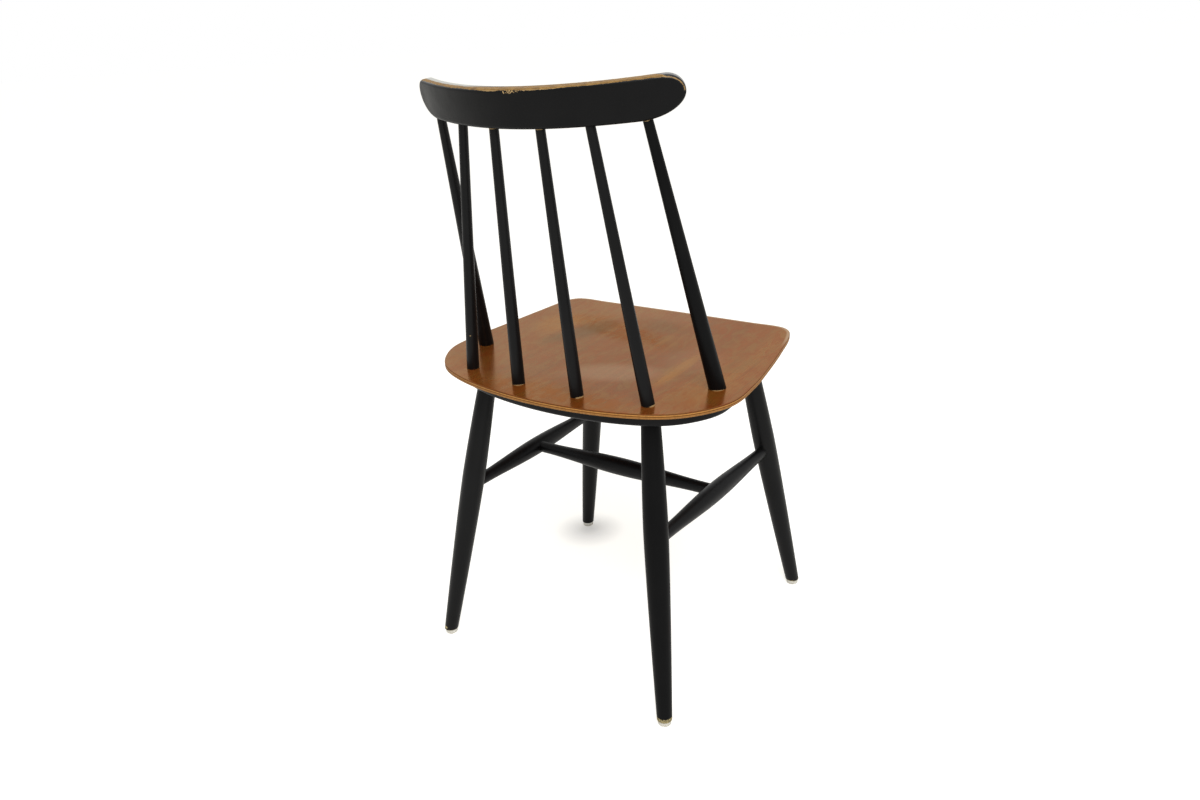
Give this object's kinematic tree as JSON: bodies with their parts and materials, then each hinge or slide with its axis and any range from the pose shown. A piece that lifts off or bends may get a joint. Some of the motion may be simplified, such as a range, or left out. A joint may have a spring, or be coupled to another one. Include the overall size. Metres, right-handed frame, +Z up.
{
  "type": "spindle-back side chair with peeling paint",
  "caption": "Side chair with a black painted spindle back, a bent top rail worn to bare wood along its upper edge, and a dished teak plywood seat on splayed turned legs.",
  "frame": {"origin": "on the floor, near the middle of the four feet and of the chair's box", "axes": "+Z up; the chair faces -Y, so the back is towards +Y; +X is the sitter's left"},
  "size_m": [0.474, 0.4131, 0.8151],
  "materials": {
    "black_paint": "satin black paint on turned hardwood, worn through to bare wood on the rail's upper edge",
    "teak_varnish": "semi-gloss varnish on red-brown teak veneer, pale ply at the edge",
    "white_nylon": "moulded, slightly scuffed",
    "plain_steel": "plain, a little dull"
  },
  "bodies": {
    "root": {"seat_shell": "teak_varnish", "rear_seat_plate": "black_paint", "front_batten": "black_paint", "crest_rail": "black_paint", "cross_stretcher": "black_paint", "side_stretcher_left": "black_paint", "side_stretcher_right": "black_paint", "leg_front_left": "black_paint", "leg_front_right": "black_paint", "leg_rear_left": "black_paint", "leg_rear_right": "black_paint", "spindle_outer_left": "black_paint", "spindle_outer_right": "black_paint", "spindle_middle_left": "black_paint", "spindle_middle_right": "black_paint", "spindle_inner_left": "black_paint", "spindle_inner_right": "black_paint", "glide_front_left": "white_nylon", "glide_front_right": "white_nylon", "glide_rear_left": "white_nylon", "glide_rear_right": "white_nylon", "glide_nail_front_left": "plain_steel", "glide_nail_front_right": "plain_steel", "glide_nail_rear_left": "plain_steel", "glide_nail_rear_right": "plain_steel", "plate_screw_1": "plain_steel", "plate_screw_2": "plain_steel", "plate_screw_3": "plain_steel", "plate_screw_4": "plain_steel", "plate_screw_5": "plain_steel", "batten_screw_1": "plain_steel", "batten_screw_2": "plain_steel", "batten_screw_3": "plain_steel"}
  },
  "joints": []
}
